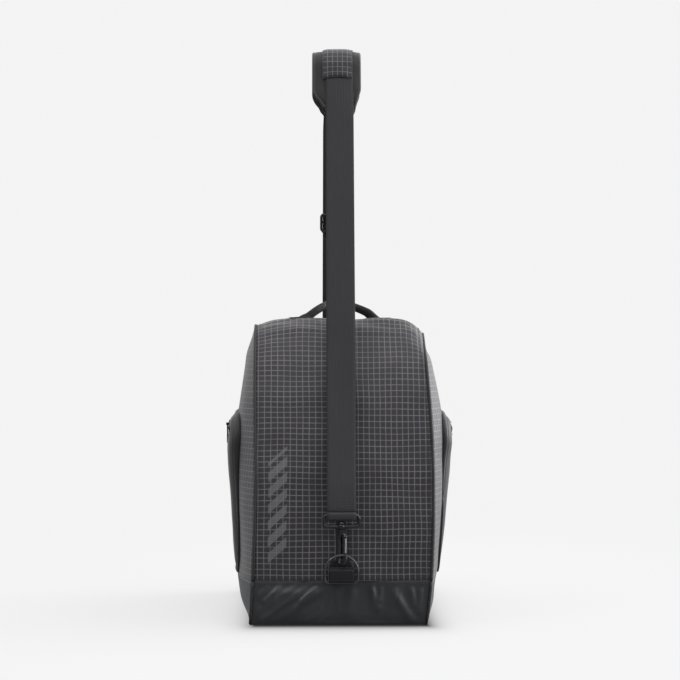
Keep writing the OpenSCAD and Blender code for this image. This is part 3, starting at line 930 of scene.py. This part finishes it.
def makePocket(side, sign):
    half = side + "_half"
    low, high = pocket["low"], pocket["high"]

    def facePlace(u, v):
        z = low + (high - low) * 0.5 * (1 - math.cos(math.pi * v))
        y = sign * (2 * u - 1) * pocketY(z)
        edge = edgeFade(pocketY(z) - abs(y) + 1, min(z - low, high - z) + 1, 24)
        near = ease(1 - abs(z - 252) / 22)
        push = edge * (1 - near) * wrinkle(y, z, sign * 3, 2.4, 0.016) + 0.6 * edge * (1 - near)
        shoulder = edgeFade(pocketY(z) - abs(y), min(z - low, high - z), 13)
        push -= pocket["drop"] * (1 - shoulder) ** 2
        return point(sign * (pocketX(z, y, sign) + push), y, z)

    sheet(side + "PocketFace", 70, 60, facePlace, "pocket", sheetUv(0.3, 0.21), 0.0014, half, "pocket_cloth",
          side + "_pocket_face", bend=True)

    rim = pocketOutline()
    count = len(rim)

    def wallPlace(u, v):
        y, z = rim[int(round(u * count)) % count]
        inner, outer = sideX(z, y, sign) - 0.5, pocketX(z, y, sign) - 0.4 - pocket["drop"]
        bow = pocket["bow"] * math.sin(math.pi * v)
        ny, nz = y / pocket["bowReach"][0], (z - pocket["bowCentre"]) / pocket["bowReach"][1]
        size = math.hypot(ny, nz)
        return point(sign * (inner + v * (outer - inner)), y + bow * ny / size, z + bow * nz / size)

    sheet(side + "PocketGusset", count, 5, wallPlace, "pocket", sheetUv(0.95, 0.02), 0.0012, half,
          "pocket_cloth", side + "_pocket_gusset", bend=True, closed=True, offset=0)
    edge = [point(sign * (sideX(z, y, sign) + 0.9), y, z) for y, z in rim]
    rod(side + "PocketBinding", edge, 0.0017, "piping", half, "piping", bend=True, sides=8, closed=True)

    def tapePlace(u, v):
        z = pocket["zipLow"] + v * (pocket["zipHigh"] - pocket["zipLow"])
        y = sign * (2 * u - 1) * pocket["zipHalf"]
        return point(sign * (pocketX(z, y, sign) + 0.7), y, z)

    sheet(side + "PocketZipTape", 50, 3, tapePlace, "piping", sheetUv(0.25, 0.009), 0.0008, half, "zip",
          side + "_pocket_zip", bend=True)
    spots, middle = [], pocket["zipMiddle"]
    for y in np.arange(-pocket["zipHalf"] + 2, pocket["zipHalf"] - 2, 1.3):
        here = point(sign * (pocketX(middle, y, sign) + 0.9), y, middle)
        spots.append(spotMatrix(here, Vector((0, 0, 1)), Vector((sign, 0, 0)), (0.0042, 0.0009, 0.0010)))
    copyEach(side + "PocketZipCoil", "tooth", spots, "coil", half, "zip", True)
    for label, z in (("Upper", 260.5), ("Lower", 244.5)):
        ys = range(-104, 105, 8)
        points = [point(sign * (pocketX(z, y, sign) + 0.9), y, z) for y in ys]
        stitchRow(side + "Pocket" + label + "Stitch", points, Vector((sign, 0, 0)), half, "pocket_cloth", bend=True)


for side, sign in sides:
    makePocket(side, sign)
print("zips and pockets ready")

# carry handles

# the ways are x, y, z offsets from a foot, left and right; bend: heights between which the feet stop turning
handle = {"foot": (55.0, 66.0), "base": 407.0, "radius": {-1: 4.4 * 1.16, 1: 4.4 * 1.02}, "swell": 0.45,
          "bend": (0.4, 0.412), "patch": (34, 20), "box": (14, 7.5),
          "ways": {-1: [(4, 0, -9), (8, 1.5, -5.5), (15, 5, -0.5), (23, 11, 5.5), (31, 20, 10.5), (38, 32, 13.5),
                        (44, 46, 15.5), (46, 66, 16)],
                   1: [(4, 0, -10), (7, 1, -6), (11, 3, -0.5), (16, 7, 3.5), (25, 14, 7.5), (34, 25, 11),
                       (41, 42, 14), (46, 66, 16)]}}


def makeHandle(side, sign):
    x0, y0 = handle["foot"]
    quarter = [(-x0 + x, -y0 + y, handle["base"] + z) for x, y, z in handle["ways"][sign]]
    whole = quarter + [(x, -y, z) for x, y, z in reversed(quarter[:-1])]
    points = smoothWay([point(-sign * x, y, z) for x, y, z in whole], 96)
    radius = handle["radius"][sign] * mm
    piece = tubePiece(side + "Handle", points,
                      lambda t: radius * (1 + handle["swell"] * (1 - ease(min(t, 1 - t) / 0.07))),
                      finish["blackWebbing"], 16)
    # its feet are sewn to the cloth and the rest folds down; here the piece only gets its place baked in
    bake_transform(piece)
    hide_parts(side + "_handle")
    wide, deep = handle["patch"]
    for way in (-1, 1):
        def place(u, v):
            across, along = (u - 0.5) * wide, (v - 0.5) * deep
            lift = 0.9 + 0.6 * edgeFade(wide / 2 - abs(across), deep / 2 - abs(along), 3)
            return settle(sign * (x0 - 4 + across), way * y0 + along * sign, bagTop + lift)

        name = side + ("Front" if way < 0 else "Rear") + "HandlePatch"
        sheet(name, 12, 8, place, "blackWebbing", sheetUv(0.034, 0.02), 0.0012, side + "_half", "black_webbing",
              *([side + "_handle_anchors"] if way < 0 else []))
        # a box with one diagonal
        a, b = handle["box"]
        box = [settle(sign * (x0 + x), way * y0 + y, bagTop + 1.7)
               for x, y in ((-a, -b), (a, -b), (a, b), (-a, b), (-a, -b), (a, b))]
        stitchRow(name + "Stitch", box, Vector((0, 0, 1)), side + "_half", "black_webbing")


def smoothWay(points, count):
    # even points on a soft curve through given ones
    rows = np.array([tuple(p) for p in points])
    along = np.concatenate([[0], np.cumsum(np.linalg.norm(np.diff(rows, axis=0), axis=1))])
    fine = np.linspace(0, along[-1], count * 6)
    reach = max(3, len(fine) // (2 * len(points)))
    smooth = np.stack([soften(np.interp(fine, along, column), np.hanning(2 * reach + 1)) for column in rows.T],
                      axis=1)
    picked = np.linspace(0, len(fine) - 1, count).round().astype(int)
    return [Vector(smooth[i]) for i in picked]


for side, sign in sides:
    makeHandle(side, sign)

# shoulder strap

strap = {"width": 38.0, "thick": 1.8, "lean": 16.9, "topRadius": 33.0, "hookY": 212.0, "knee": (199.0, 200.0),
         "low": [(212.0, 148.0), (208.2, 166.0), (204.2, 183.0)], "returnTop": 524.0}
lean = math.radians(strap["lean"])
arcZ = (strap["knee"][1] + (strap["knee"][0] - strap["topRadius"] * math.cos(lean)) / math.tan(lean)
        - strap["topRadius"] * math.sin(lean))


def legY(z):
    return strap["knee"][0] - (z - strap["knee"][1]) * math.tan(lean)


def strapWay(step):
    # y, z pairs from the front hook loop over the top to the rear one
    leg = [(-y, z) for y, z in strap["low"]]
    leg += [(-legY(z), z) for z in np.arange(strap["knee"][1], arcZ, 10)]
    arc = []
    for i in range(25):
        a = math.pi - lean - i * (math.pi - 2 * lean) / 24
        arc.append((strap["topRadius"] * math.cos(a), arcZ + strap["topRadius"] * math.sin(a)))
    leg = [p for p in leg if p[1] < arc[0][1] - 4]
    rows = leg + arc + [(-y, z) for y, z in reversed(leg)]
    along = np.concatenate([[0], np.cumsum(np.hypot(*np.diff(np.array(rows), axis=0).T))])
    count = int(along[-1] / step)
    even = np.linspace(0, along[-1], count)
    return list(zip(even, np.interp(even, along, [r[0] for r in rows]),
                    np.interp(even, along, [r[1] for r in rows])))


def wayFrame(way, v):
    # row of a way of distance, y, z rows at v, 0 to 1, and the outward normal there
    last = len(way) - 1
    i = int(round(v * last))
    before, after = way[max(0, i - 1)], way[min(last, i + 1)]
    dy, dz = after[1] - before[1], after[2] - before[2]
    size = math.hypot(dy, dz)
    return way[i], -dz / size, dy / size


def strapLayer(name, way, near, width, thick, *replaced):
    # flat layer over a way: near is how far its outer face stands off the way
    def place(u, v):
        (s, y, z), ny, nz = wayFrame(way, v)
        x = (2 * u - 1) * width / 2
        push = near + twist(x, y, z)
        if y > 0:
            x -= 2.2 * ease((z - 230) / 120) * ease((725 - z) / 60)
        return point(x, y + ny * push, z + nz * push)

    def uv(u, v):
        return (2 * u - 1) * width / 2 * mm, wayFrame(way, v)[0][0] * mm

    sheet(name, 10, len(way) - 1, place, "webbing", uv, thick * mm, "strap", "webbing", *replaced)


def twist(x, y, z):
    # each leg turns a little out of flat between its ends
    high = ease((z - 260) / 120) * ease((735 - z) / 60)
    return x * 0.16 * high * (1 if y < 0 else -1) + wrinkle(x * 0.2, z, y, 0.35, 0.02)


def ringWay(width, height, radius, steps=8):
    # closed rounded rectangle: y, z offsets
    points = []
    for cx, cz, start in ((1, -1, -90), (1, 1, 0), (-1, 1, 90), (-1, -1, 180)):
        for i in range(steps + 1):
            a = math.radians(start + 90 * i / steps)
            points.append((cx * (width / 2 - radius) + radius * math.cos(a),
                           cz * (height / 2 - radius) + radius * math.sin(a)))
    return points


def makeStrap():
    way = strapWay(5)
    strapLayer("strapWebbing", way, strap["thick"] / 2, strap["width"], strap["thick"], "strap_webbing")
    for end, sign in ends:
        mid = (loopBar["low"] + loopBar["high"]) / 2
        ring = ringWay(loopBar["thick"] + 2.6, loopBar["high"] - loopBar["low"] + 2.6, 3)

        def place(u, v):
            y, z = ring[int(round(v * len(ring))) % len(ring)]
            return point((2 * u - 1) * strap["width"] / 2, sign * strap["hookY"] + y, mid + z)

        sheet(end + "StrapFold", 8, len(ring), place, "webbing", lambda u, v: ((2 * u - 1) * 0.019, v * 0.03),
              0.0017, "strap", "webbing", closed=True, offset=0)
        low = [w for w in way if w[1] * sign > 0 and 148 <= w[2] <= 186]
        if sign < 0:
            hem = [(i * 5.0, y + 2.0, z) for i, (s, y, z) in enumerate(low[1:5])]
            strapLayer(end + "StrapHem", hem, 0.9, strap["width"] - 1, 1.7)
        low.sort(key=lambda w: w[2])
        for z in (154.5, 157.5, 163.5):
            y = np.interp(z, [w[2] for w in low], [w[1] for w in low])
            points = [point(x, y + sign * 1.15, z) for x in (-16.5, 16.5)]
            stitchRow(end + "HemStitch%d" % int(z), points, Vector((0, sign, 0)), "strap", "webbing")
    rear = [w for w in way if w[1] > 0 and 160 < w[2] < strap["returnTop"]]
    strapLayer("strapReturn", rear, -strap["thick"] / 2 - 0.2, strap["width"] - 1, strap["thick"], "strap_return")


loopBar = {"low": 140.0, "high": 146.8, "thick": 4.0}
makeStrap()

# shoulder pad

pad = {"foot": 690.0, "half": 30.5, "shift": -3.6, "middle": -4.4, "thick": 3.6, "tip": 18.5,
       "sleeveFoot": 728.0, "sleeveHalf": 20.8, "sleeveShift": -2.2, "hem": 3.0}


def padWay(foot, step):
    return [w for w in strapWay(step) if w[2] > foot]


def makePad():
    line = padWay(pad["foot"], 3)
    def half(v):
        # full width in the middle, drawn in to the webbing at both ends
        out = min(1.0, min(v, 1 - v) / 0.15)
        return pad["tip"] + (pad["half"] - pad["tip"]) * math.sin(out * math.pi / 2) ** 1.15

    def place(u, v):
        (s, y, z), ny, nz = wayFrame(line, v)
        a = 2 * math.pi * u
        wide = half(v)
        x = math.copysign(abs(math.cos(a)) ** 0.45, math.cos(a)) * wide + pad["shift"] * ease(min(v, 1 - v) / 0.1)
        full = pad["thick"] * (0.55 + 0.45 * ease(min(v, 1 - v) / 0.08))
        deep = pad["middle"] + math.copysign(abs(math.sin(a)) ** 0.7, math.sin(a)) * full
        deep += wrinkle(x, s, 2, 0.5, 0.06)
        deep = min(deep, -1.1) if abs(x) < 20 else deep
        return point(x, y + ny * deep, z + nz * deep)

    body = gridPiece("shoulderPad", 40, len(line) - 1, place, finish["padCloth"], sheetUv(0.14, 0.24))
    mend(body, caps=True)
    dress(body, "strap", "padding", "pad_foam", "pad_backing")

    rim = []
    for v in np.linspace(0, 1, 60):
        (s, y, z), ny, nz = wayFrame(line, v)
        rim.append((v, y + ny * pad["middle"], z + nz * pad["middle"]))
    for label, sign in (("Left", -1), ("Right", 1)):
        points = [point(sign * half(v) + pad["shift"] * ease(min(v, 1 - v) / 0.1), y, z)
                  for v, y, z in rim]
        rod("pad" + label + "Binding", points, 0.0031, "binding", "strap", "padding", sides=10, flat=0.75)

    over = padWay(pad["sleeveFoot"], 3)

    def sleevePlace(u, v):
        (s, y, z), ny, nz = wayFrame(over, v)
        t = 2 * u - 1
        x = t * pad["sleeveHalf"] + pad["sleeveShift"]
        lift = 2.6 - 2.2 * abs(t) ** 5 + wrinkle(x, s, 8, 0.5, 0.07)
        # the hem bows up in the middle
        slide = pad["hem"] * (1 - t * t) * (1 if v < 0.5 else -1) * (1 - ease(min(v, 1 - v) / 0.18))
        return point(x, y + ny * lift + nz * slide, z + nz * lift - ny * slide)

    total = len(over) - 1
    sheet("padSleeve", 18, total, sleevePlace, "gridPad", sheetUv(0.045, total * 0.003), 0.0012, "strap",
          "grid_cloth", "pad_sleeve")


makePad()
print("strap ready")

# adjuster, loops, hooks and rings


adjuster = {"z": 541.0, "shift": -2, "half": 21.6, "tall": 12.2, "corner": 4, "frameOut": -2.8, "frame": 0.0019,
            "bar": 0.0018, "bars": (("Middle", 2.3, 0), ("Back", -4.6, -12.2), ("BackTop", -4.6, 12.2))}


def makeAdjuster():
    tilt = Matrix.Translation(point(0, legY(adjuster["z"]), adjuster["z"])) @ Matrix.Rotation(lean, 4, "X")

    def at(x, out, z):
        return tilt @ point(x + adjuster["shift"], out, z)

    outer = ringWay(2 * adjuster["half"], 2 * adjuster["tall"], adjuster["corner"])
    rod("adjusterFrame", [at(a, adjuster["frameOut"], b) for a, b in outer], adjuster["frame"], "plastic",
        "adjuster", "adjuster_plastic", "strap_adjuster", closed=True, flat=1.6,
        up=tilt.to_3x3() @ Vector((0, 1, 0)))
    for label, out, z in adjuster["bars"]:
        rod("adjuster" + label + "Bar", [at(x, out, z) for x in range(-21, 22, 6)], adjuster["bar"], "plastic",
            "adjuster", "adjuster_plastic")


# loop: width, height, corner; profiles are radius, height from the bottom up
loop = {"middle": 137.6, "size": (45.4, 14.8, 4.5), "wire": 0.0023,
        "boss": [(2.0, 127.6), (4.6, 128.0), (5.0, 129.2), (5.0, 131.8), (4.4, 132.8), (2.0, 133)]}


def makeLoop(end, sign):
    y = sign * strap["hookY"]
    points = [point(a, y, loop["middle"] + b) for a, b in ringWay(*loop["size"])]
    rod(end + "HookLoop", points, loop["wire"], "blackMetal", "strap", "hardware", end + "_hook_loop", sides=14,
        closed=True, up=Vector((0, 1, 0)))
    lathe(end + "LoopBoss", loop["boss"], y * mm, "strap")


def lathe(name, profile, y, body):
    last = len(profile) - 1

    def place(u, v):
        r, z = profile[int(round(v * last))]
        return Vector((r * mm * math.cos(2 * math.pi * u), y + r * mm * math.sin(2 * math.pi * u), z * mm))

    piece = gridPiece(name, 28, last, place, finish["blackMetal"])
    mend(piece, caps=True)
    pick(piece)
    bpy.ops.object.shade_smooth_by_angle(angle=math.radians(40))
    dress(piece, body, "hardware")


# ways are x, z pairs across the hook; the gate's way starts from its pin
hook = {"turn": 52.0, "low": 79.0, "thick": 4.5, "bowRadius": 4.9, "bowX": 0.9, "pin": (8.2, 118.0),
        "wire": 0.00225, "collar": 0.0006, "gateWire": 0.00135,
        "back": [(0, 125), (0, 122.5), (-2.6, 119.5), (-5.4, 116), (-6.4, 111), (-6.4, 104), (-6.4, 97)],
        "arm": [(-2.5, 119.6), (1, 121.4), (5, 121), (8.4, 118.4), (8.6, 115.4)],
        "gate": [(-0.2, 1.4), (0, -3), (0.1, -9), (0.05, -15)],
        "swivel": [(1.2, 121.5), (3.4, 122.4), (4.2, 124), (4.2, 126.2), (3.2, 127.3), (1.3, 127.5), (1.3, 133.2),
                   (3.7, 133.5), (4.0, 134.8), (3.0, 136.3), (0.6, 136.9)]}


def makeHook(end, sign):
    y0 = sign * strap["hookY"] * mm
    turned = Matrix.Translation((0, y0, 0)) @ Matrix.Rotation(sign * math.radians(hook["turn"]), 4, "Z")
    body, wire = end + "_hook", hook["wire"]
    up = turned.to_3x3() @ Vector((0, 1, 0))
    middle = hook["bowRadius"] + hook["thick"] / 2
    bowZ = hook["low"] + hook["thick"] + hook["bowRadius"]

    def soft(way, count):
        return smoothWay([turned @ point(x, 0, z) for x, z in way], count)

    turns = [math.pi + math.pi * i / 12 for i in range(1, 13)]
    bow = [(hook["bowX"] + middle * math.cos(a), bowZ + middle * math.sin(a)) for a in turns]
    back = [*hook["back"], (-6.25, bowZ), *bow, (8.15, bowZ + 3.5), (8.3, bowZ + 6.6)]

    def radius(t):
        if t > 0.9:
            return wire * (1 - 0.35 * ease((t - 0.9) / 0.1))
        return wire + hook["collar"] * math.exp(-((t - 0.1) / 0.07) ** 2)

    rod(end + "Hook", soft(back, 70), radius, "blackMetal", body, "hardware", body, sides=16, up=up)
    rod(end + "HookArm", soft(hook["arm"], 20), lambda t: 0.0024 - 0.0006 * t, "blackMetal", body, "hardware",
        sides=14, up=up)
    lathe(end + "Swivel", hook["swivel"], y0, body)
    px, pz = hook["pin"]
    leaf = [(px + x, pz + z) for x, z in hook["gate"]] + [(px, bowZ + 8.2)]
    rod(end + "Gate", soft(leaf, 24), lambda t: hook["gateWire"] - 0.0002 * t, "gateMetal", end + "_gate",
        "gate_steel", end + "_gate", up=up)
    paint(end + "_gate_pin", "blackMetal")


dring = {"radius": 21.6, "centre": 71.5, "wire": 0.00145,
         "foot": [(21.4, 64), (21.0, 60.5), (19.6, 58.2), (17.4, 57.5), (8, 57.5)]}


def makeRing(end, sign):
    arc = [math.pi * i / 32 for i in range(33)]
    row = [(dring["radius"] * math.cos(a), dring["centre"] + dring["radius"] * math.sin(a)) for a in arc]
    row += [(-x, z) for x, z in dring["foot"]] + [(0, 57.5)] + dring["foot"][::-1]
    points = [point(x, sign * strap["hookY"], z) for x, z in row]
    rod(end + "Ring", points, dring["wire"], "ringMetal", end + "_dring", "hardware", end + "_dring", sides=14,
        closed=True, up=Vector((0, 1, 0)))


tab = {"half": 16.5, "patchHalf": 15.5, "patchOut": 202.1, "patchLow": 60, "patchTall": 28, "stitchOut": 215.7,
       "fold": [(201.5, 77), (206, 77.4), (211, 76.8), (214.4, 75), (215.3, 72), (215.4, 66), (215.2, 61),
                (214, 57.4), (210.8, 56.2), (206.5, 56.6), (203.5, 57.5), (201.6, 59.5)]}


def makeTab(end, sign):
    rows = 39
    line = smoothWay([point(0, sign * y, z) for y, z in tab["fold"]], rows + 1)

    def place(u, v):
        p = line[int(round(v * rows))]
        return Vector(((1 - 2 * u) * tab["half"] * mm * sign, p.y, p.z))

    sheet(end + "RingTab", 10, rows, place, "blackWebbing", sheetUv(0.033, 0.055), 0.0015, "tub", "black_webbing",
          end + "_dring_tab")

    def backPlace(u, v):
        wide = tab["patchHalf"] * math.sqrt(1 - max(0.0, (v - 0.45) / 0.56) ** 2.4)
        return point((2 * u - 1) * wide, sign * tab["patchOut"], tab["patchLow"] + v * tab["patchTall"])

    sheet(end + "RingPatch", 10, 8, backPlace, "blackWebbing", sheetUv(0.038, 0.032), 0.0011, "tub",
          "black_webbing")
    for z in (73.5, 60.5):
        points = [point(x, sign * tab["stitchOut"], z) for x in (-14.5, 14.5)]
        stitchRow(end + "TabStitch%d" % int(z), points, Vector((0, sign, 0)), "tub", "black_webbing")


makeAdjuster()
for end, sign in ends:
    makeLoop(end, sign)
    makeHook(end, sign)
    makeRing(end, sign)
    makeTab(end, sign)

for name in list(nodes):
    for part, label in (("slider", "blackMetal"), ("pull", "plastic")):
        if part in name:
            paint(name, label)
print("metal ready")
